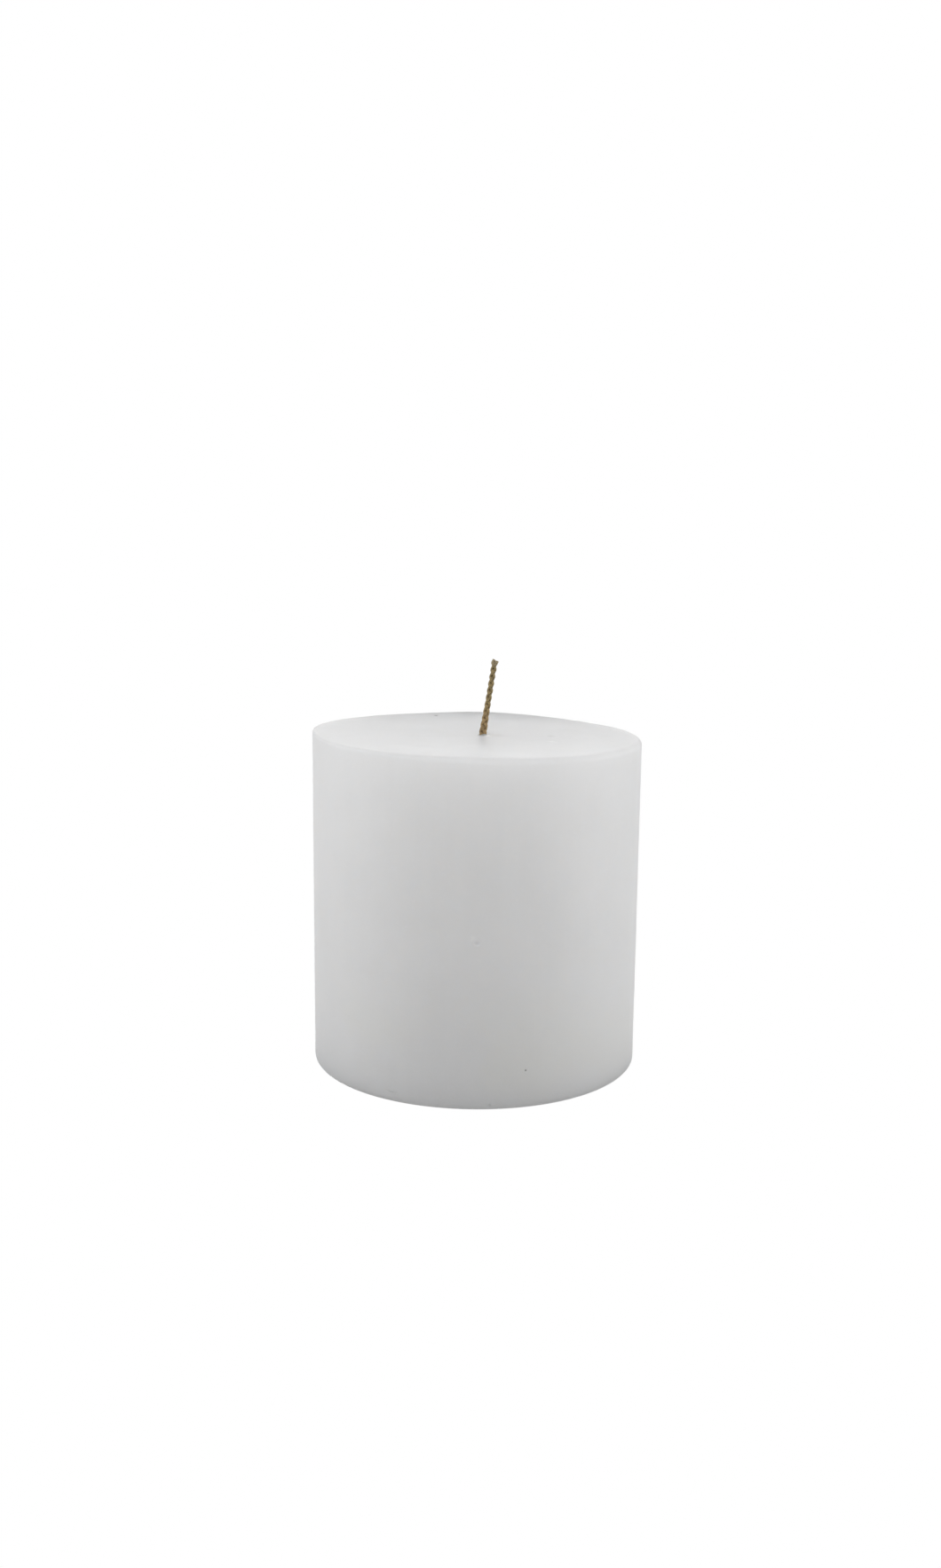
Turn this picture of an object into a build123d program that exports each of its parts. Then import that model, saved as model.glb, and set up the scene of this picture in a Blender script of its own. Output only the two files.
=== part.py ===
"""Pillar candle, 75 mm across and 76 mm tall: a cast wax body round a tabbed, plaited cotton wick.

The wax was poured upright. So the base edge is rounded by the mould's corner, and the top is the
poured surface: a little out of level, with a sharper rim. A steel tab anchors the wick at the centre
of the base. The wick drifts off the axis on its way up, and leans where it leaves the wax.

Frame: origin at the centre of the base, +Z up, and -Y the side that the wick drifts towards.
Units: millimetres and degrees.
"""

from build123d import *
from math import cos, radians, sin, tan
import os

# Wax body
PILLAR_DIAMETER = 75.0
PILLAR_HEIGHT = 76.2  # on the axis
TOP_SLOPE = 0.87  # the top is higher on the -X side
RIM_ROUND = 0.5
BASE_ROUND = 1.2
COLLAR_HEIGHT = 0.5  # wax drawn up round the wick
COLLAR_WALL = 0.3
COLLAR_FOOT_ROUND = 0.45

# Wick: a flat plait of three strands
STRAND_COUNT = 3
STRAND_DIAMETER = 0.42
PLAIT_REACH = 0.60  # from the wick's centreline to a strand's turning point, across the flat
PLAIT_DEPTH = 0.48  # the same through the thickness
PLAIT_PITCH = 4.8  # length of one full cycle of crossings
POINTS_PER_PITCH = 6
BEND_SHARE = 0.45  # share of its shorter run that a strand's rounded corner takes
WICK_FOOT = 0.15  # height of the lower cut end
WICK_ROOT = (1.2, -3.0)  # where the centreline meets the top
WICK_FREE_LENGTH = 17.6
WICK_LEAN = 8.8  # from upright, towards +X
WICK_BEND_RADIUS = 5.0
STUB_TWIST = 30.0  # turn of the plait's flat between the wax and the upper cut end
CUT_ALLOWANCE = 1.2  # extra wick at each end, which the cuts take off

# Wick tab: a steel disc with a crimped neck
TAB_DIAMETER = 20.0
TAB_THICKNESS = 0.3
TAB_LIFT = 0.05  # the disc lies this far inside the base plane
TAB_EDGE_ROUND = 0.1
NECK_DIAMETER = 3.2
NECK_WALL = 0.3
NECK_HEIGHT = 6.0  # above the disc
NECK_FOOT_ROUND = 0.4
ROUND_HEIGHT = 2.0  # the part of the neck that stays round
CRIMP_START = 3.4  # from here up, the neck is pressed onto the wick
CRIMP_ACROSS = 1.56  # inside, over the plait's width
CRIMP_THROUGH = 1.32  # inside, over its thickness
CRIMP_CORNER = 0.3

# Room that the wax leaves round what is cast into it
WAX_GAP = 0.05
CHANNEL_RADIUS = 0.85

PILLAR_RADIUS = PILLAR_DIAMETER / 2
NECK_RADIUS = NECK_DIAMETER / 2
DISC_TOP = TAB_LIFT + TAB_THICKNESS
NECK_TOP = DISC_TOP + NECK_HEIGHT
ROOT_HEIGHT = PILLAR_HEIGHT - WICK_ROOT[0] * tan(radians(TOP_SLOPE))
LEAN = Vector(sin(radians(WICK_LEAN)), 0, cos(radians(WICK_LEAN)))
ROOT = Vector(*WICK_ROOT, ROOT_HEIGHT)
CUT_END = ROOT + LEAN * WICK_FREE_LENGTH


# The wick's centreline: up through the tab, across to the root, then along the lean.
with BuildLine() as centreline:
    FilletPolyline(
        (0, 0, WICK_FOOT - CUT_ALLOWANCE),
        (0, 0, NECK_TOP + WAX_GAP),
        ROOT,
        CUT_END + LEAN * CUT_ALLOWANCE,
        radius=WICK_BEND_RADIUS,
    )
WICK_LINE = centreline.wire()


# Wax body: a cylinder under a sloping top, with a collar at the wick's root and room for the wick and tab.
with BuildPart() as wax_pillar:
    with BuildSketch():
        Circle(PILLAR_RADIUS)
    extrude(amount=PILLAR_HEIGHT + PILLAR_RADIUS)
    top_normal = (sin(radians(TOP_SLOPE)), 0, cos(radians(TOP_SLOPE)))
    sloping_top = Plane(origin=(0, 0, PILLAR_HEIGHT), z_dir=top_normal)
    split(bisect_by=sloping_top, keep=Keep.BOTTOM)
    fillet(wax_pillar.edges().group_by(Axis.Z)[-1], RIM_ROUND)
    fillet(wax_pillar.edges().group_by(Axis.Z)[0], BASE_ROUND)

    with BuildSketch(Plane(origin=ROOT - LEAN * COLLAR_HEIGHT, z_dir=sloping_top.z_dir)):
        Circle(CHANNEL_RADIUS + COLLAR_WALL)
    extrude(amount=2 * COLLAR_HEIGHT)
    collar_rings = wax_pillar.edges(Select.LAST).filter_by(GeomType.CIRCLE)
    fillet(collar_rings.group_by(Axis.Z)[0], COLLAR_FOOT_ROUND)

    with BuildSketch(Plane(origin=WICK_LINE @ 0, z_dir=WICK_LINE % 0)):
        Circle(CHANNEL_RADIUS)
    sweep(path=WICK_LINE, mode=Mode.SUBTRACT)
    with BuildSketch():
        Circle(NECK_RADIUS + WAX_GAP)
    extrude(amount=NECK_TOP + WAX_GAP, mode=Mode.SUBTRACT)
    with BuildSketch():
        Circle(TAB_DIAMETER / 2 + WAX_GAP)
    extrude(amount=DISC_TOP + WAX_GAP, mode=Mode.SUBTRACT)
    recess_rings = wax_pillar.edges(Select.LAST).filter_by(GeomType.CIRCLE)
    fillet(recess_rings.sort_by(SortBy.RADIUS)[0], NECK_FOOT_ROUND)


# Wick tab: disc, round foot of the neck, and a crimp that grips the plait.
with BuildPart() as wick_tab:
    with BuildSketch(Plane.XY.offset(TAB_LIFT)):
        Circle(TAB_DIAMETER / 2)
    extrude(amount=TAB_THICKNESS)
    fillet(wick_tab.edges().filter_by(GeomType.CIRCLE), TAB_EDGE_ROUND)
    with BuildSketch(Plane.XY.offset(DISC_TOP)):
        Circle(NECK_RADIUS)
    extrude(amount=ROUND_HEIGHT)
    neck_rings = wick_tab.edges(Select.LAST).filter_by(GeomType.CIRCLE)
    fillet(neck_rings.group_by(Axis.Z)[0], NECK_FOOT_ROUND)
    for wall, mode in ((NECK_WALL, Mode.ADD), (0, Mode.SUBTRACT)):
        with BuildSketch(Plane.XY.offset(DISC_TOP + ROUND_HEIGHT)):
            Circle(NECK_RADIUS - NECK_WALL + wall)
        with BuildSketch(Plane.XY.offset(DISC_TOP + CRIMP_START)) as crimp:
            RectangleRounded(CRIMP_ACROSS + 2 * wall, CRIMP_THROUGH + 2 * wall, CRIMP_CORNER + wall)
        loft(mode=mode)
        extrude(crimp.sketch, amount=NECK_HEIGHT - CRIMP_START, mode=mode)
    with BuildSketch(Plane.XY.offset(TAB_LIFT)):
        Circle(NECK_RADIUS - NECK_WALL)
    extrude(amount=TAB_THICKNESS + ROUND_HEIGHT, mode=Mode.SUBTRACT)


def strand_points(number):
    """Corners of one strand's path: it weaves across the flat once, and through it twice, in each pitch."""
    step = PLAIT_PITCH / POINTS_PER_PITCH
    free_start = WICK_LINE.length - WICK_FREE_LENGTH - CUT_ALLOWANCE
    points = []
    for k in range(int(WICK_LINE.length / step) + 1):
        along = k * step
        phase = radians(360 / POINTS_PER_PITCH * (k + 0.5) + 360 / STRAND_COUNT * number)
        twist = STUB_TWIST * max(0, along - free_start) / WICK_FREE_LENGTH
        centre = WICK_LINE.position_at(along, position_mode=PositionMode.LENGTH)
        up = WICK_LINE.tangent_at(along, position_mode=PositionMode.LENGTH)
        flat = Plane(origin=centre, x_dir=(1, 0, 0), z_dir=up).rotated((0, 0, twist))
        weave = Vector(PLAIT_REACH * sin(phase), PLAIT_DEPTH * sin(2 * phase))
        points.append(flat.from_local_coords(weave))
    return points


def bend_radii(points):
    """A radius for each corner of a path, as large as its two runs allow."""
    radii = []
    for before, corner, after in zip(points, points[1:], points[2:]):
        turn = (corner - before).get_angle(after - corner)
        run = min((corner - before).length, (after - corner).length)
        radii.append(BEND_SHARE * run / tan(radians(turn / 2)))
    return radii


def wick_strand(number):
    """One cotton strand of the plait, cut level with the others at both ends."""
    points = strand_points(number)
    radii = bend_radii(points)
    with BuildPart() as strand:
        with BuildLine() as path:
            FilletPolyline(*points, radius=radii)
        with BuildSketch(Plane(origin=path.line @ 0, z_dir=path.line % 0)):
            Circle(STRAND_DIAMETER / 2)
        sweep()
        split(bisect_by=Plane.XY.offset(WICK_FOOT), keep=Keep.TOP)
        split(bisect_by=Plane(origin=CUT_END, z_dir=LEAN), keep=Keep.BOTTOM)
    print(f"strand {number + 1}: {path.wire().length:.1f} mm, tightest bend {min(radii):.2f} mm")
    return strand


os.makedirs("parts", exist_ok=True)
wax_pillar.part.label = "wax_pillar"
export_step(wax_pillar.part, "parts/wax_pillar.step")
wick_tab.part.label = "wick_tab"
export_step(wick_tab.part, "parts/wick_tab.step")
for number in range(STRAND_COUNT):
    strand = wick_strand(number)
    strand.part.label = f"wick_strand_{number + 1}"
    export_step(strand.part, f"parts/{strand.part.label}.step")
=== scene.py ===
"""Looks for the pillar candle: cast wax body, plaited cotton wick and steel wick tab, in a white studio.

Shapes are worked out in millimetres in the CAD frame (base centre at the origin, +Z up, -Y the front)
and scaled to metres where a mesh is made.
"""

from collections import namedtuple
from math import cos, pi, radians, sin, tan

import bmesh
import bpy
import numpy as np
from mathutils import Matrix, Vector, noise


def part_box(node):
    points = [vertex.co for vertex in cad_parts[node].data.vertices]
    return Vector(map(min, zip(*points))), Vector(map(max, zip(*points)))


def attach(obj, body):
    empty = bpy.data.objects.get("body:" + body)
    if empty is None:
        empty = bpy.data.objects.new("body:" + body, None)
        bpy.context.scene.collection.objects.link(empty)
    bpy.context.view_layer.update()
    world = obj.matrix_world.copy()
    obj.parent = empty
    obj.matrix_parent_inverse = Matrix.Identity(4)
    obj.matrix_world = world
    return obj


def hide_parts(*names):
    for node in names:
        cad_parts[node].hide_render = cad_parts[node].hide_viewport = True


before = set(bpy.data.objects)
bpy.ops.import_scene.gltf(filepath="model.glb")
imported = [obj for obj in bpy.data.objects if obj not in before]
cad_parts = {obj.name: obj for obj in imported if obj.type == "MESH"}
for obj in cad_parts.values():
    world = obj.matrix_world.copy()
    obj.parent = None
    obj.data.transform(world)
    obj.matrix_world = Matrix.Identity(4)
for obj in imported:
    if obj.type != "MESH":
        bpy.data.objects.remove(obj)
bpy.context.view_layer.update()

MM = 0.001
wax_low, wax_high = (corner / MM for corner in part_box("wax_pillar"))
tab_low, tab_high = (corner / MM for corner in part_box("wick_tab"))

# Wax body, as the CAD model has it
PILLAR_RADIUS = (wax_high.x - wax_low.x) / 2
PILLAR_HEIGHT = 76.2  # on the axis
TOP_SLOPE = tan(radians(0.87))  # the top is higher on the -X side
BASE_ROUND = 1.2
RECESS_RADIUS = 10.05
RECESS_HEIGHT = 0.4
SOCKET_RADIUS = 1.65
SOCKET_FOOT_ROUND = 0.4

# Wick and tab, as the CAD model has them
WICK_ROOT = (1.2, -3.0)
WICK_FOOT = 0.15
WICK_FREE_LENGTH = 17.6
WICK_LEAN = radians(8.8)
PLAIT_PITCH = 4.8
STUB_TWIST = radians(30)
PLAIT_START = radians(30)  # where in its cycle the first strand begins
CUT_ALLOWANCE = 1.2  # the wick's centreline goes this far past each cut
TAB_RADIUS = (tab_high.x - tab_low.x) / 2
TAB_LIFT = tab_low.z
TAB_THICKNESS = 0.3
NECK_TOP = tab_high.z
NECK_RADIUS = 1.6
NECK_WALL = 0.3
CRIMP_ACROSS = 1.56  # inside, over the plait's width
CRIMP_THROUGH = 1.32  # inside, over its thickness

# What casting leaves on the wax
RIM_ROUND = 0.95
RIM_ROUND_CHANGE = 0.4  # the rim is this much rounder on the +X side, and sharper on the -X side
FRONT_ROUND = 0.5  # and this much rounder again at the front
DISH = 0.08  # the top sinks this far between rim and wick
DISH_RISE = (12.0, 14.0)  # and rises again over these distances, to the rim and to the wick
SINK = 0.15  # it sinks this far again where the wick leaves it
SINK_REACH = 7.0
COLLAR_START = 0.80  # half the wick's width, where the wax drawn up round it begins
COLLAR_HEIGHT = 0.50
COLLAR_REACH = 0.3  # distance in which that rise fades to a third
COLLAR_END = 1.3  # up to this distance from the wick's middle, the mesh's rings lie closest
WICK_SURROUND = 5.0  # and up to this distance they lie close
COLLAR_FLATNESS = 0.78
CHANNEL_RADIUS = 0.95
TOP_UNEVENNESS = 0.06
SIDE_UNEVENNESS = 0.05
SIDE_TAPER = 0.15  # the radius is this much less at the foot than at the rim
RIM_WAVE_REACH = 16.0  # how far in from the rim its waves fade away
TOP_ZONE = 3.0  # what lies no further than this below the top belongs to it
# Height of the rim over the sloping top at these azimuths, in degrees from +X
RIM_HEIGHTS = {
    0: 0.10, 25: -0.05, 50: -0.16, 70: 0.16, 90: 0.36, 105: 0.0, 122: -0.16, 145: 0.0,
    165: 0.18, 180: 0.42, 205: 0.15, 235: 0.0, 270: 0.08, 305: -0.05, 335: 0.0,
}

# Plait, as soft cotton fills it
PLAIT_REACH = 0.36
PLAIT_DEPTH = 0.24
BUNDLE_WIDTH = 0.155  # from a strand's middle to its outer yarns, where it turns at the plait's edge
BUNDLE_SPREAD = 0.15  # more than that where it crosses the middle
BUNDLE_DEPTH = 0.18
ROOT_SWELL = 0.35  # the plait is this much fuller where it leaves the wax
SWELL_LENGTH = 5.0
YARNS = 8
YARN_RADIUS = 0.131
YARN_SIDES = 8
YARN_LAY = 3.6  # length of one turn of a strand's yarns
FREE_STEP = 0.2  # between the points along a yarn, and below the wax
HIDDEN_STEP = 0.4
YARN_SLUBS = 0.06  # a yarn gets thicker and thinner by this share
FRAY_START, FRAY_END = 2.0, 0.7  # the plait opens between these lengths below the upper cut
FRAY_SPREAD = 0.55
FIBRES = 5  # loose ones at each yarn's cut end
FIBRE_RADIUS = 0.028
FIBRE_SIDES = 5
CUT_SLANT = 0.55  # the snipped end is this much lower, per millimetre, towards +X
CUT_EDGE = 0.6  # the slant starts this far from the wick's middle, on the -X side
CUT_RAGGEDNESS = 0.12

# Details of the tab
COINED_RING = (6.52, 0.3, 0.12)  # its radius, half its width and its depth
TAB_EDGE = 0.1
TAB_FOOT_ROUND = 0.45
NECK_FILLET = 0.4
NECK_LIP = 0.06
ROUND_HEIGHT = 2.0  # over the disc, the neck is round up to here
CRIMP_HEIGHT = 3.4  # and crimped from here
CRIMP_TEETH = (0.7, 1.7)  # heights over that
TOOTH_DEPTH = 0.09

# Camera and studio
CAMERA_PLACE = (-1.41, -356.7, 126.4)
CAMERA_PITCH = radians(9.86)  # down from level
CAMERA_ROLL = radians(0.555)
CAMERA_LENS = 36.15
FLOOR_GLOW = 0.32  # light that the floor itself gives under and close round the candle
FLOOR_GLOW_REACH = (37.0, 41.0)  # it fades between these distances from the axis


def ease(t):
    """Smooth step from 0 to 1."""
    t = np.clip(t, 0, 1)
    return t * t * (3 - 2 * t)


def bell(t):
    return np.exp(-t * t)


def mesh_object(name, vertices, faces, **values):
    """A smooth-shaded mesh object from vertices in millimetres, with each value kept on its vertices."""
    mesh = bpy.data.meshes.new(name)
    mesh.from_pydata((np.asarray(vertices) * MM).tolist(), [], faces)
    for key, numbers in values.items():
        mesh.attributes.new(key, "FLOAT", "POINT").data.foreach_set("value", numbers.astype(np.float32))
    mesh.update()
    mesh.shade_smooth()
    made = bpy.data.objects.new(name, mesh)
    bpy.context.scene.collection.objects.link(made)
    return made


def ring_faces(rings, sides, closed=False):
    """Quads between neighbouring rings of a grid of rings x sides vertices, closed round each ring."""
    faces = []
    for r in range(rings if closed else rings - 1):
        here, there = r * sides, (r + 1) % rings * sides
        for s in range(sides):
            t = (s + 1) % sides
            faces.append((here + s, here + t, there + t, there + s))
    return faces


class Rings:
    """Rings of points about upright axes, all at the same angles."""

    def __init__(self, sides):
        self.angles = np.linspace(0, 2 * pi, sides, endpoint=False)
        self.direction = np.stack([np.cos(self.angles), np.sin(self.angles)], axis=-1)
        self.made = []

    def add(self, radius, height, centre=(0, 0), flatness=1.0):
        points = np.zeros((len(self.angles), 3))
        points[:, :2] = np.asarray(centre) + self.direction * (1, flatness) * np.reshape(radius, (-1, 1))
        points[:, 2] = height
        self.made.append(points)

    def points(self):
        return np.concatenate(self.made)

    def faces(self):
        return ring_faces(len(self.made), len(self.angles), closed=True)


# The wick's centreline, from below the foot to above the upper cut ------------------------------------

def top_height(x):
    return PILLAR_HEIGHT - TOP_SLOPE * x


LEAN = np.array([sin(WICK_LEAN), 0, cos(WICK_LEAN)])
ROOT = np.array([*WICK_ROOT, top_height(WICK_ROOT[0])])
CUT_END = ROOT + LEAN * WICK_FREE_LENGTH
CORNERS = np.array([
    (0, 0, WICK_FOOT - CUT_ALLOWANCE), (0, 0, NECK_TOP), ROOT, CUT_END + LEAN * CUT_ALLOWANCE
])
RUNS = np.concatenate([[0], np.cumsum(np.linalg.norm(np.diff(CORNERS, axis=0), axis=1))])
NECK_LENGTH, ROOT_LENGTH, WICK_LENGTH = RUNS[1:]


def wick_centre(along):
    """Points on the wick's centreline at these lengths, with its corners eased."""
    ease_length = 1.0
    shifts = np.linspace(-ease_length, ease_length, 9)

    def on_corners(lengths):
        return np.stack([np.interp(lengths, RUNS, CORNERS[:, i]) for i in range(3)], axis=-1)

    eased = np.mean([on_corners(along + shift) for shift in shifts], axis=0)
    inside = ((along > ease_length) & (along < WICK_LENGTH - ease_length))[:, None]
    return np.where(inside, eased, on_corners(along))


def wick_frames(along):
    """Centre, across-the-flat, through-the-flat and up vectors of the plait at these lengths."""
    centre = wick_centre(along)
    up = np.gradient(centre, along, axis=0)
    up /= np.linalg.norm(up, axis=1)[:, None]
    across = np.array([1.0, 0, 0]) - up * up[:, :1]
    across /= np.linalg.norm(across, axis=1)[:, None]
    through = np.cross(up, across)
    free = np.clip(along - ROOT_LENGTH, 0, None) / WICK_FREE_LENGTH
    turn = (STUB_TWIST * free)[:, None]
    turned_across = across * np.cos(turn) + through * np.sin(turn)
    turned_through = through * np.cos(turn) - across * np.sin(turn)
    return centre, turned_across, turned_through, up


# Wax body ---------------------------------------------------------------------------------------------

# Pits, or blisters where the depth is below 0. Its fourth value darkens one, with dirt and with painted
# shade in the pit, or makes it paler where it is below 0, and stretch draws one out sideways.
Mark = namedtuple("Mark", "place radius depth dirt stretch", defaults=(1.0,))
LARGE_MARK = 0.5  # a mark with a larger radius needs the skin cut finer only once


def side_place(azimuth, height):
    turn = radians(azimuth)
    return PILLAR_RADIUS * cos(turn), PILLAR_RADIUS * sin(turn), height


def top_place(x, y):
    return x, y, top_height(x) - DISH


MARKS = (
    Mark(side_place(-89.6, 36.9), 0.42, 0.20, 0.12),
    Mark(side_place(-91.0, 38.1), 0.60, -0.06, -0.5),
    Mark(side_place(-72.9, 8.6), 0.19, 0.12, 1.0),
    Mark(side_place(-85.0, 1.3), 0.30, 0.10, 0.3),
    Mark(side_place(-118.6, 2.4), 0.16, 0.06, 0.35, 7.0),
    Mark(side_place(12.0, 31.0), 0.30, 0.20, 0.3),
    Mark(side_place(28.0, 55.0), 0.22, 0.14, 0.9),
    Mark(side_place(76.0, 14.0), 0.35, 0.25, 0.2),
    Mark(side_place(110.0, 47.0), 0.18, 0.10, 1.0),
    Mark(side_place(152.0, 24.0), 0.45, -0.10, 0.0),
    Mark(side_place(171.0, 61.0), 0.20, 0.12, 0.8),
    Mark(side_place(-178.0, 38.0), 0.28, 0.18, 0.3),
    Mark(top_place(16.6, -1.0), 0.75, 0.14, 0.10),
    Mark(top_place(16.3, -10.1), 0.9, -0.10, -0.9),
    Mark(top_place(-10.1, 30.0), 0.42, 0.12, 1.0),
)


def rim_height(azimuth):
    """Height of the rim over the sloping top, with the corners between the given heights eased."""
    shifts = np.radians(np.linspace(-9, 9, 7))
    known, heights = np.radians(list(RIM_HEIGHTS)), list(RIM_HEIGHTS.values())
    return np.mean([np.interp(azimuth + d, known, heights, period=2 * pi) for d in shifts], axis=0)


def unevenness(points, size):
    """Smooth noise from -1 to 1 at these points, with features of about this size."""
    return np.array([noise.noise(point) for point in map(Vector, points / size)])


def wax_skin():
    """The wax's whole skin: up the wick's channel, over the top, down the side, in across the base, and up
    the tab's socket to the channel again."""
    skin = Rings(320)
    east = skin.direction[:, 0]
    for along in np.linspace(NECK_LENGTH + 0.3, ROOT_LENGTH - 1.0, 10):
        centre = wick_centre(np.array([along]))[0]
        skin.add(CHANNEL_RADIUS, centre[2], centre[:2])

    # Over the collar and out to the rim
    front = np.clip(-skin.direction[:, 1], 0, 1)
    rim_round = RIM_ROUND + RIM_ROUND_CHANGE * east + FRONT_ROUND * front ** 2
    rim_start = PILLAR_RADIUS - rim_round
    near = np.linspace(COLLAR_START, COLLAR_END, 8), np.geomspace(COLLAR_END + 0.15, WICK_SURROUND, 10)
    far = (WICK_SURROUND + (rim_start - WICK_SURROUND) * share for share in np.linspace(0, 1, 41)[1:])
    for r in (*np.concatenate(near), *far):
        share = ease((r - WICK_SURROUND / 2) / (PILLAR_RADIUS - RIM_ROUND - WICK_SURROUND / 2))
        centre = np.array(WICK_ROOT) * (1 - np.mean(share))
        x = centre[0] + east * r
        rise = np.exp(-(r - COLLAR_START) / COLLAR_REACH)
        dish = DISH * ease((rim_start - r) / DISH_RISE[0]) * ease(r / DISH_RISE[1])
        dish += SINK * bell(r / SINK_REACH)
        flatness = COLLAR_FLATNESS + (1 - COLLAR_FLATNESS) * ease((np.mean(r) - COLLAR_START) / 2)
        skin.add(r, top_height(x) + COLLAR_HEIGHT * rise * (1 + 0.2 * east) - dish, centre, flatness)

    # Rim, side and base edge
    for turn in np.linspace(0, pi / 2, 10)[1:]:
        r = rim_start + rim_round * sin(turn)
        skin.add(r, top_height(east * r) - rim_round * (1 - cos(turn)))
    side_top = top_height(east * PILLAR_RADIUS) - rim_round
    for share in np.linspace(0, 1, 60)[1:-1]:
        skin.add(PILLAR_RADIUS, side_top + (BASE_ROUND - side_top) * share)
    for turn in np.linspace(0, pi / 2, 10):
        skin.add(PILLAR_RADIUS - BASE_ROUND * (1 - cos(turn)), BASE_ROUND * (1 - sin(turn)))

    # Base, recess and socket
    for r in np.linspace(PILLAR_RADIUS - BASE_ROUND, RECESS_RADIUS + 0.2, 16)[1:]:
        skin.add(r, 0)
    for step, z in ((0.06, 0.02), (0, 0.08), (0, 0.24), (0, RECESS_HEIGHT)):
        skin.add(RECESS_RADIUS + step, z)
    for r in np.linspace(RECESS_RADIUS, SOCKET_RADIUS + SOCKET_FOOT_ROUND, 8)[1:]:
        skin.add(r, RECESS_HEIGHT)
    for turn in np.linspace(0, pi / 2, 6)[1:]:
        r = SOCKET_RADIUS + SOCKET_FOOT_ROUND * (1 - sin(turn))
        skin.add(r, RECESS_HEIGHT + SOCKET_FOOT_ROUND * (1 - cos(turn)))
    for z in np.linspace(RECESS_HEIGHT + SOCKET_FOOT_ROUND, NECK_TOP + 0.05, 6)[1:]:
        skin.add(SOCKET_RADIUS, z)
    skin.add(CHANNEL_RADIUS, NECK_TOP + 0.05)
    skin.made.reverse()  # so that the faces look outwards
    return skin


def weather(points):
    """Moves the skin a little, as cooling does: a wavy rim, an uneven top and side. The base stays flat."""
    x, y, z = points.T
    r = np.hypot(x, y)
    clear_of_wick = ease((np.hypot(x - WICK_ROOT[0], y - WICK_ROOT[1]) - 1.5) / 5)
    on_top = ease((z - top_height(x) + TOP_ZONE) / TOP_ZONE)
    on_side = ease((r - PILLAR_RADIUS + 2) / 1.5) * ease(z / 4) * (1 - on_top)
    rim = rim_height(np.arctan2(y, x)) * ease((r - PILLAR_RADIUS + RIM_WAVE_REACH) / RIM_WAVE_REACH)
    flat = points * (1, 1, 0)
    swell = TOP_UNEVENNESS * (unevenness(flat, 14) + 0.35 * unevenness(flat + 50, 4))
    sink = SIDE_UNEVENNESS * (0.5 + 0.5 * unevenness(points, 16)) * on_side
    sink += SIDE_TAPER * (1 - z / PILLAR_HEIGHT) * ease((r - PILLAR_RADIUS + 6) / 4)
    narrower = (1 - sink / np.maximum(r, 1))[:, None]
    return np.column_stack([points[:, :2] * narrower, z + on_top * clear_of_wick * (rim + swell)])


def press_marks(body):
    """Cuts the skin finer round each mark, presses the mark in, and keeps its darkening, dirt and painted
    pit shade, as a vertex value.
    """
    grid = bmesh.new()
    grid.from_mesh(body.data)
    dirt = grid.verts.layers.float.new("dirt")
    for mark in MARKS:
        place, size = Vector(mark.place) * MM, mark.radius * mark.stretch * MM
        reaches = (2.2 * size + 0.6 * MM, 1.6 * size + 0.1 * MM)
        for reach in (reaches[:1] if mark.radius > LARGE_MARK else reaches):
            near = [vert for vert in grid.verts if (vert.co - place).length < reach]
            edges = {edge for vert in near for edge in vert.link_edges}
            bmesh.ops.subdivide_edges(grid, edges=list(edges), cuts=3, use_grid_fill=True)
    grid.normal_update()
    for mark in MARKS:
        place, radius = Vector(mark.place) * MM, mark.radius * MM
        outwards = place if mark.place[2] < PILLAR_HEIGHT - TOP_ZONE else Vector((0, -1, 0))
        sideways = Vector((0, 0, 1)).cross(outwards).normalized()
        for vert in grid.verts:
            offset = vert.co - place
            if offset.length > 5 * radius * mark.stretch:
                continue
            offset -= vert.normal * offset.dot(vert.normal)
            along = offset.dot(sideways)
            offset -= sideways * along * (1 - 1 / mark.stretch)
            away = offset.length / radius
            vert.co += vert.normal * mark.depth * MM * (0.2 * bell((away - 1.9) / 0.6) - bell(away))
            # darkening for dirt and for painted shade in the pit, or paler where the value is below 0
            vert[dirt] += mark.dirt * bell(away / 0.9)
    grid.to_mesh(body.data)
    grid.free()


def wax_body():
    skin = wax_skin()
    body = mesh_object("wax_body", weather(skin.points()), skin.faces())
    press_marks(body)
    return body


# Wick -------------------------------------------------------------------------------------------------

def tube(path, radius, across, through, sides):
    """Vertices and faces of a closed tube along a path, with its own radius at each point."""
    turns = np.linspace(0, 2 * pi, sides, endpoint=False)
    circle = np.cos(turns)[:, None] * across[:, None, :] + np.sin(turns)[:, None] * through[:, None, :]
    vertices = (path[:, None, :] + circle * radius[:, None, None]).reshape(-1, 3)
    faces = ring_faces(len(path), sides)
    faces.append(tuple(range(sides - 1, -1, -1)))
    faces.append(tuple(range(len(vertices) - sides, len(vertices))))
    return vertices, faces


def bundle_place(along, number, yarn, spread=0.0):
    """Where a yarn lies in the plait, in millimetres across and through the flat."""
    phase = 2 * pi * along / PLAIT_PITCH + PLAIT_START + 2 * pi / 3 * number
    lay = 2 * pi * along / YARN_LAY + 2 * pi * yarn / (YARNS - 1)
    free = np.clip(along - ROOT_LENGTH, 0, None)
    swell = 1 + ROOT_SWELL * bell(free / SWELL_LENGTH)
    outward = (1 + spread) * (yarn > 0)  # the first yarn is the strand's core
    bundle_width = BUNDLE_WIDTH + BUNDLE_SPREAD * np.cos(phase) ** 2
    x = PLAIT_REACH * np.sin(phase) + outward * bundle_width * np.cos(lay)
    y = PLAIT_DEPTH * np.sin(2 * phase) + outward * BUNDLE_DEPTH * np.sin(lay)
    return swell * x, swell * y, swell


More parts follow.
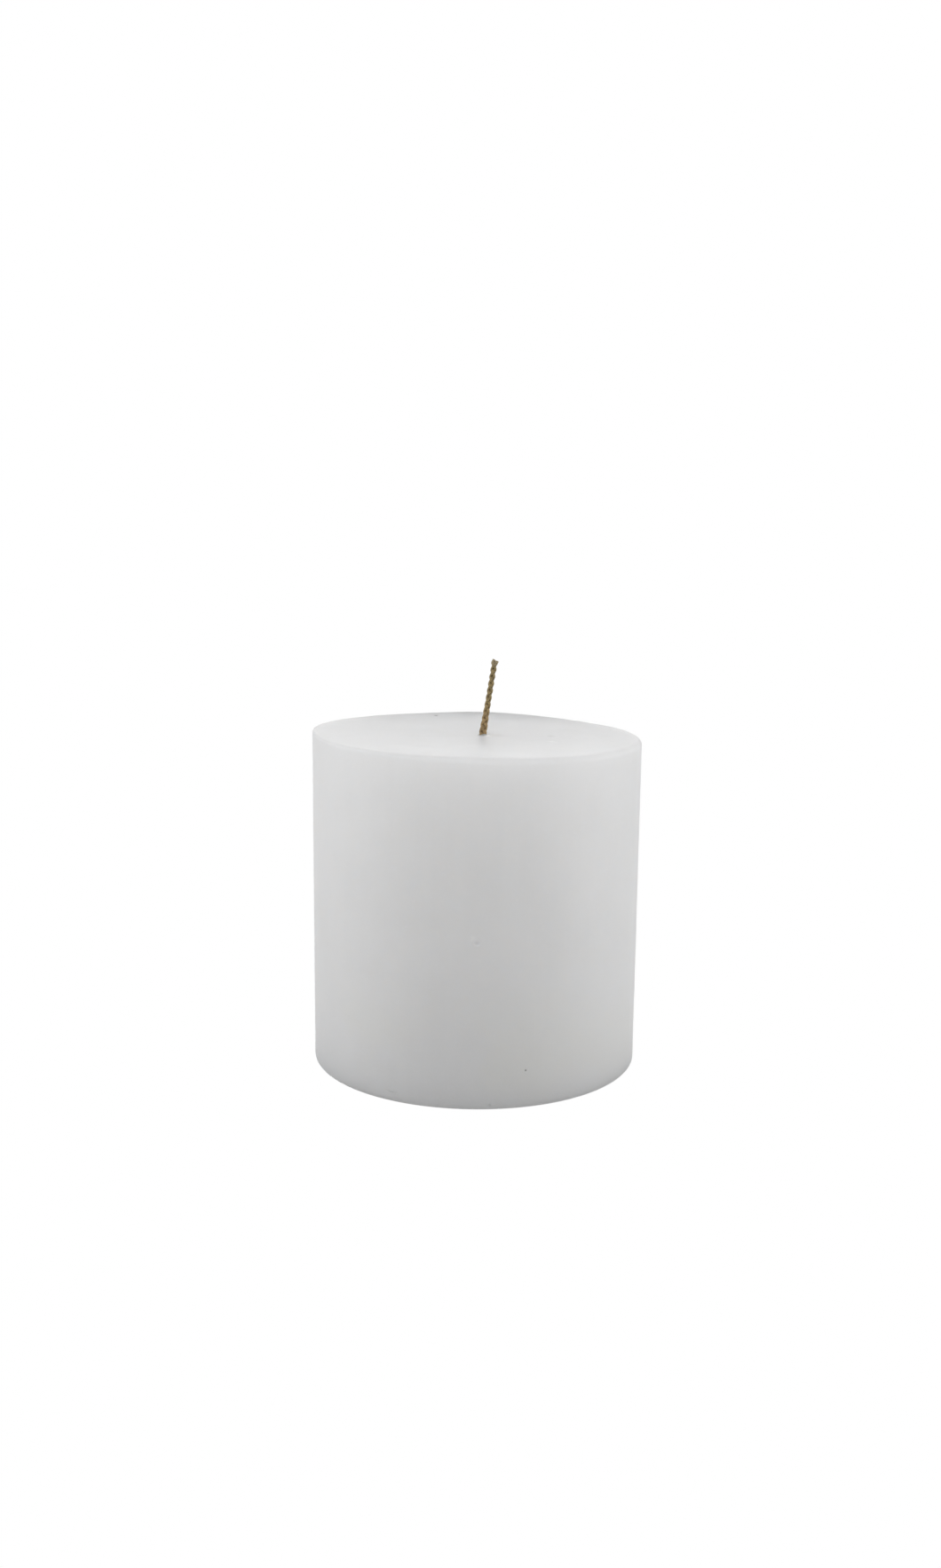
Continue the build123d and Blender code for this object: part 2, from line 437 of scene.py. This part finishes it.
def fibre(rng, start, tip, up, across, through):
    """A loose fibre from a yarn's side to just past its cut end, curling away."""
    turn = rng.uniform(0, 2 * pi)
    sideways = across * cos(turn) + through * sin(turn)
    reach = tip + sideways * rng.uniform(0.04, 0.26) + up * rng.uniform(-0.15, 0.1)
    bend = (start + tip) / 2 + sideways * 0.1
    t = np.linspace(0, 1, 7)[:, None]
    path = (1 - t) ** 2 * start + 2 * t * (1 - t) * bend + t * t * reach
    every = np.ones((len(t), 1))
    return tube(path, FIBRE_RADIUS * (1 - 0.4 * t[:, 0]), across * every, through * every, FIBRE_SIDES)


def wick_strand(number):
    """One strand: a bundle of yarns that weaves through the plait and flattens where it crosses the others.
    It opens a little at the slanting cut. Its vertices keep how deep they lie and how frayed they are."""
    rng = np.random.default_rng(40 + number)
    foot, end, free_start = CUT_ALLOWANCE, WICK_LENGTH - CUT_ALLOWANCE, ROOT_LENGTH - 1
    tubes, depths, frays = [], [], []
    for yarn in range(YARNS):
        slant = CUT_SLANT * (bundle_place(end, number, yarn)[0] + CUT_EDGE)
        last = end - slant - CUT_RAGGEDNESS * rng.uniform()
        along = np.concatenate([
            np.arange(foot, free_start, HIDDEN_STEP), np.arange(free_start, last - 0.1, FREE_STEP), [last]
        ])
        centre, across, through, up = wick_frames(along)
        opening = ease((along - end + FRAY_START) / (FRAY_START - FRAY_END))
        x, y, swell = bundle_place(along, number, yarn, FRAY_SPREAD * opening * rng.uniform(0.5, 1.5))
        path = centre + across * x[:, None] + through * y[:, None]
        radius = YARN_RADIUS * swell * (1 + YARN_SLUBS * np.sin(along * 2.3 + yarn * 1.7 + number))
        tubes.append(tube(path, radius, across, through, YARN_SIDES))
        centre, side, front, swell, opening = (
            np.repeat(a, YARN_SIDES, axis=0) for a in (centre, across, through, swell, opening)
        )
        offset = tubes[-1][0] - centre
        width = (offset * side).sum(axis=1) / (PLAIT_REACH + BUNDLE_WIDTH + YARN_RADIUS)
        thickness = (offset * front).sum(axis=1) / (PLAIT_DEPTH + BUNDLE_DEPTH + YARN_RADIUS)
        # how deep a point lies in the plait; the cotton darkens with it as painted shade between the
        # strands
        depths.append(1 - np.hypot(width, thickness) / swell)
        frays.append(opening * 0.5)
        for _ in range(FIBRES):
            tubes.append(fibre(rng, path[-rng.integers(3, 6)], path[-1], up[-1], across[-1], through[-1]))
            depths.append(np.zeros(len(tubes[-1][0])))
            frays.append(np.ones(len(tubes[-1][0])))
    starts = np.cumsum([0] + [len(points) for points, _ in tubes])
    faces = [tuple(v + start for v in face) for start, (_, made) in zip(starts, tubes) for face in made]
    vertices = np.concatenate([points for points, _ in tubes])
    values = {"depth": np.concatenate(depths), "fray": np.concatenate(frays)}
    return mesh_object(f"cotton_strand_{number + 1}", vertices, faces, **values)


# Wick tab ---------------------------------------------------------------------------------------------

def tab_body():
    """The tab: a stamped disc with a coined ring, and a neck that is round below and crimped above."""
    skin = Rings(96)
    disc_top = TAB_LIFT + TAB_THICKNESS
    round_top, crimp_start = disc_top + ROUND_HEIGHT, disc_top + CRIMP_HEIGHT
    coin_radius, coin_width, coin_height = COINED_RING

    def neck(height, wall):
        """The neck's radius at each angle, to the inside or, with the wall, to the outside."""
        inside = NECK_RADIUS - NECK_WALL
        halves = CRIMP_ACROSS / 2, CRIMP_THROUGH / 2
        square = sum(np.abs(skin.direction[:, i] / halves[i]) ** 7 for i in range(2)) ** (-1 / 7)
        crimped = ease((height - round_top) / (crimp_start - round_top))
        tooth = sum(bell((height - crimp_start - z) / 0.22) for z in CRIMP_TEETH) if wall else 0
        press = TOOTH_DEPTH * tooth * bell((np.abs(skin.direction[:, 1]) - 1) / 0.25)
        return inside + (square - inside) * crimped + wall - press

    # Down the neck's inside and out over the underside
    for z in np.linspace(NECK_TOP - NECK_LIP, round_top, 40):
        skin.add(neck(z, 0), z)
    for z in np.linspace(round_top, TAB_LIFT + TAB_FOOT_ROUND, 6)[1:]:
        skin.add(neck(z, 0), z)
    for turn in np.linspace(0, pi / 2, 7)[1:]:
        r = neck(0, 0) + TAB_FOOT_ROUND * (1 - cos(turn))
        skin.add(r, TAB_LIFT + TAB_FOOT_ROUND * (1 - sin(turn)))
    for r in (2.4, 4.0, 5.6, *np.linspace(6.0, 7.05, 8), 7.5, 8.5, 9.4, TAB_RADIUS - TAB_EDGE):
        skin.add(r, TAB_LIFT + coin_height * bell((r - coin_radius) / coin_width))

    # Round the disc's edge, in over its top, and up the neck's outside
    for turn in np.linspace(0, pi, 7)[1:]:
        skin.add(TAB_RADIUS - TAB_EDGE * (1 - sin(turn)), TAB_LIFT + TAB_THICKNESS * (1 - cos(turn)) / 2)
    for r in (8.0, 5.0, 3.0, 2.2):
        skin.add(r, disc_top)
    for turn in np.linspace(0, pi / 2, 6)[1:]:
        r = neck(0, NECK_WALL) + NECK_FILLET * (1 - sin(turn))
        skin.add(r, disc_top + NECK_FILLET * (1 - cos(turn)))
    for z in np.linspace(disc_top + NECK_FILLET, NECK_TOP - NECK_LIP, 48)[1:]:
        skin.add(neck(z, NECK_WALL), z)
    skin.add(neck(NECK_TOP, NECK_WALL) - NECK_LIP, NECK_TOP)
    skin.add(neck(NECK_TOP, 0) + NECK_LIP, NECK_TOP)
    return mesh_object("stamped_tab", skin.points(), skin.faces())


# Materials --------------------------------------------------------------------------------------------

class Shader:
    """A node material with a Principled shader, built by short calls."""

    def __init__(self, name):
        self.material = bpy.data.materials.new(name)
        self.material.use_nodes = True
        self.tree = self.material.node_tree
        self.principled = self.tree.nodes["Principled BSDF"]

    def put(self, socket, value):
        """Links a socket to an output, or sets it to a number or a colour."""
        if isinstance(value, bpy.types.NodeSocket):
            self.tree.links.new(value, socket)
        elif socket.type == "RGBA":
            socket.default_value = (*value, 1) if isinstance(value, tuple) else (value, value, value, 1)
        else:
            socket.default_value = value

    def node(self, kind, inputs=(), **settings):
        made = self.tree.nodes.new(kind)
        for key, value in settings.items():
            setattr(made, key, value)
        for key, value in dict(inputs).items():
            self.put(made.inputs[key], value)
        return made

    def set(self, **values):
        for key, value in values.items():
            self.put(self.principled.inputs[key.replace("_", " ")], value)

    def coordinates(self, stretch=(1, 1, 1)):
        place = self.node("ShaderNodeTexCoord").outputs["Object"]
        return self.node("ShaderNodeMapping", {"Vector": place, "Scale": stretch}).outputs[0]

    def height(self):
        """Height in the object's frame, in metres."""
        return self.node("ShaderNodeSeparateXYZ", {0: self.coordinates()}).outputs[2]

    def value(self, name):
        """A value kept on the mesh's vertices."""
        return self.node("ShaderNodeAttribute", attribute_name=name).outputs["Fac"]

    def noise(self, scale, detail=3.0, roughness=0.5, stretch=(1, 1, 1)):
        inputs = {"Vector": self.coordinates(stretch), "Scale": scale}
        inputs.update({"Detail": detail, "Roughness": roughness})
        return self.node("ShaderNodeTexNoise", inputs).outputs["Fac"]

    def between(self, value, low, high, start=0.0, end=1.0):
        """Eases from start to end as the value goes from low to high."""
        inputs = {"Value": value, "From Min": low, "From Max": high, "To Min": start, "To Max": end}
        return self.node("ShaderNodeMapRange", inputs, interpolation_type="SMOOTHSTEP").outputs[0]

    def mix(self, factor, a, b, blend="MIX"):
        inputs = {0: factor, 6: a, 7: b}
        return self.node("ShaderNodeMix", inputs, data_type="RGBA", blend_type=blend).outputs[2]

    def math(self, operation, a, b=0.0):
        return self.node("ShaderNodeMath", {0: a, 1: b}, operation=operation).outputs[0]

    def distance(self, point):
        """Distance in metres from a point given in millimetres."""
        inputs = {0: self.coordinates(), 1: Vector(point) * MM}
        return self.node("ShaderNodeVectorMath", inputs, operation="DISTANCE").outputs["Value"]

    def bump(self, height, distance, strength=1.0, under=None):
        inputs = {"Height": height, "Distance": distance, "Strength": strength}
        if under:
            inputs["Normal"] = under
        return self.node("ShaderNodeBump", inputs).outputs["Normal"]


def wax_material():
    """White candle wax: translucent, satin, faintly mottled, a little yellow near the foot. It is painted
    grey where it creeps up the wick, as shade in the crevice there and the dark wick seen through the thin
    wax, painted darker in pits, as dirt and as shade in them, and paler on some blisters."""
    s = Shader("candle_wax")
    cloud = s.between(s.noise(45, 4), 0.35, 0.65)
    wax = s.mix(cloud, (0.865, 0.866, 0.867), (0.888, 0.888, 0.890))
    streak = s.between(s.noise(260, 3, stretch=(1, 1, 0.06)), 0.35, 0.7, 0.0, 0.3)
    wax = s.mix(streak, wax, (0.893, 0.893, 0.895))
    frost = s.between(s.noise(1500, 2), 0.55, 0.75, 0.0, 0.4)
    wax = s.mix(frost, wax, (0.90, 0.90, 0.902))
    low = s.between(s.height(), 0.035, 0.0)
    yellow = s.math("MULTIPLY", low, s.between(s.noise(38, 2), 0.42, 0.62))
    wax = s.mix(yellow, wax, (0.876, 0.873, 0.845))
    # painted shade: a grey ring round where the wick leaves the wax, for the shade in the crevice and the
    # dark wick seen through the thin wax
    wick_root_shade = s.between(s.distance(ROOT), 0.0013, 0.0009, 0.0, 0.7)
    wax = s.mix(wick_root_shade, wax, (0.42, 0.42, 0.40))
    # pits darker with dirt and with painted shade in them; where the value is below 0, paler
    wax = s.mix(s.value("dirt"), wax, (0.10, 0.095, 0.085))
    wax = s.mix(s.math("MULTIPLY", s.value("dirt"), -1.0), wax, (0.975, 0.975, 0.97))
    pores = s.bump(s.noise(900, 6, 0.6), 0.00008, 0.35)
    s.set(
        Base_Color=wax,
        Roughness=s.between(s.noise(220, 5), 0.3, 0.7, 0.50, 0.60),
        IOR=1.44,
        Specular_IOR_Level=0.2,
        Subsurface_Weight=1.0,
        Subsurface_Radius=(1.0, 0.96, 0.92),
        Subsurface_Scale=s.between(s.distance(ROOT), 0.001, 0.012, 0.0008, 0.045),
        Normal=s.bump(s.noise(60, 2), 0.0002, 0.25, under=pores),
    )
    return s.material


def cotton_material():
    """Unbleached cotton primed with wax: olive brown above and redder below, with painted shade between the
    strands, darker the deeper a point lies in the plait, and pale where the cut has opened its fibres."""
    s = Shader("primed_cotton")
    grain = s.noise(2600, 4)
    patch = s.noise(620, 2)
    low = s.between(s.height(), (ROOT[2] + 9) * MM, (ROOT[2] + 2) * MM)
    # the dark colour is painted shade for the crevices between the strands, the light one the cotton's own
    dark = s.mix(low, (0.080, 0.056, 0.018), (0.100, 0.056, 0.018))
    light = s.mix(low, (0.245, 0.184, 0.076), (0.330, 0.224, 0.098))
    outside = s.between(s.value("depth"), 0.62, 0.12)
    uneven = s.between(patch, 0.3, 0.6, 0.45, 1.0)
    cotton = s.mix(s.math("MULTIPLY", outside, uneven), dark, light)
    cotton = s.mix(s.between(grain, 0.35, 0.7, 0.0, 0.35), cotton, (0.36, 0.265, 0.135))
    cotton = s.mix(s.math("MULTIPLY", s.value("fray"), 0.55), cotton, (0.62, 0.56, 0.45))
    s.set(
        Base_Color=cotton,
        Roughness=s.between(patch, 0.3, 0.7, 0.5, 0.72),
        Normal=s.bump(grain, 0.00006, 0.7),
    )
    return s.material


def steel_material():
    """Tinned sheet steel: dull, with fine scratches, and darker patches where the tin is thin."""
    s = Shader("tinned_steel")
    patch = s.between(s.noise(260, 5), 0.3, 0.7)
    scratch = s.noise(700, 4, stretch=(1, 9, 1))
    s.set(
        Base_Color=s.mix(patch, (0.50, 0.50, 0.51), (0.68, 0.68, 0.67)),
        Metallic=1.0,
        Roughness=s.between(scratch, 0.3, 0.7, 0.26, 0.44),
        Normal=s.bump(scratch, 0.00003, 0.4),
    )
    return s.material


# Stage ------------------------------------------------------------------------------------------------

def camera():
    data = bpy.data.cameras.new("camera")
    data.lens = CAMERA_LENS
    made = bpy.data.objects.new("camera", data)
    made.matrix_world = (
        Matrix.Translation(Vector(CAMERA_PLACE) * MM)
        @ Matrix.Rotation(pi / 2 - CAMERA_PITCH, 4, "X")
        @ Matrix.Rotation(CAMERA_ROLL, 4, "Z")
    )
    bpy.context.scene.collection.objects.link(made)
    bpy.context.scene.camera = made


def light(name, place, aim, size, power):
    """An area light. Place, aim and size are in millimetres, and power in watts."""
    data = bpy.data.lights.new(name, "AREA")
    data.shape = "RECTANGLE"
    data.size, data.size_y = size[0] * MM, size[1] * MM
    data.energy = power
    made = bpy.data.objects.new(name, data)
    made.location = Vector(place) * MM
    made.rotation_euler = (Vector(aim) - Vector(place)).to_track_quat("-Z", "Y").to_euler()
    bpy.context.scene.collection.objects.link(made)


def seen_white(tree, unseen, output):
    """Shows plain white to the camera and in reflections, and the given shader to all other rays."""
    path = tree.nodes.new("ShaderNodeLightPath")
    seen = tree.nodes.new("ShaderNodeMath")
    seen.operation = "MAXIMUM"
    white = tree.nodes.new("ShaderNodeEmission")
    mixed = tree.nodes.new("ShaderNodeMixShader")
    tree.links.new(path.outputs["Is Camera Ray"], seen.inputs[0])
    tree.links.new(path.outputs["Is Glossy Ray"], seen.inputs[1])
    tree.links.new(seen.outputs[0], mixed.inputs[0])
    tree.links.new(unseen.outputs[0], mixed.inputs[1])
    tree.links.new(white.outputs[0], mixed.inputs[2])
    tree.links.new(mixed.outputs[0], output)


def studio():
    """A floor and a backdrop that show as plain white but throw little light back, and soft lights."""
    world = bpy.data.worlds.new("studio")
    world.use_nodes = True
    tree = world.node_tree
    tree.nodes["Background"].inputs["Strength"].default_value = 0.0
    seen_white(tree, tree.nodes["Background"], tree.nodes["World Output"].inputs["Surface"])
    bpy.context.scene.world = world

    half = 3000
    corners = [(-half, -half, 0), (half, -half, 0), (half, half, 0), (-half, half, 0)]
    floor = mesh_object("floor", corners, [(0, 1, 2, 3)])
    s = Shader("floor_white")
    near = s.between(s.distance((0, 0, 0)), FLOOR_GLOW_REACH[0] * MM, FLOOR_GLOW_REACH[1] * MM, 1.0, 0.0)
    dull = s.node("ShaderNodeBsdfDiffuse", {"Color": 0.1}).outputs[0]
    glow = s.node("ShaderNodeEmission", {"Strength": FLOOR_GLOW}).outputs[0]
    unseen = s.node("ShaderNodeMixShader", {0: near, 1: dull, 2: glow})
    s.tree.nodes.remove(s.principled)
    seen_white(s.tree, unseen, s.tree.nodes["Material Output"].inputs["Surface"])
    floor.data.materials.append(s.material)

    middle = (0, 0, 40)
    light("left", (-440, 0, 170), middle, (600, 300), 1.61)
    light("right", (440, 0, 170), middle, (600, 300), 1.62)
    light("front", (0, -500, 200), middle, (300, 300), 0.72)
    light("above_front", (0, -110, 250), middle, (120, 120), 0.157)
    light("back", (0, 450, 200), middle, (300, 300), 0.35)
    bpy.context.scene.view_settings.view_transform = "Standard"


def dress(piece, material, node):
    """Gives a piece its material, and makes it stand for a CAD node."""
    piece.data.materials.append(material)
    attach(piece, "root")
    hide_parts(node)


camera()
studio()
dress(wax_body(), wax_material(), "wax_pillar")
dress(tab_body(), steel_material(), "wick_tab")
cotton = cotton_material()
for number in range(3):
    dress(wick_strand(number), cotton, f"wick_strand_{number + 1}")
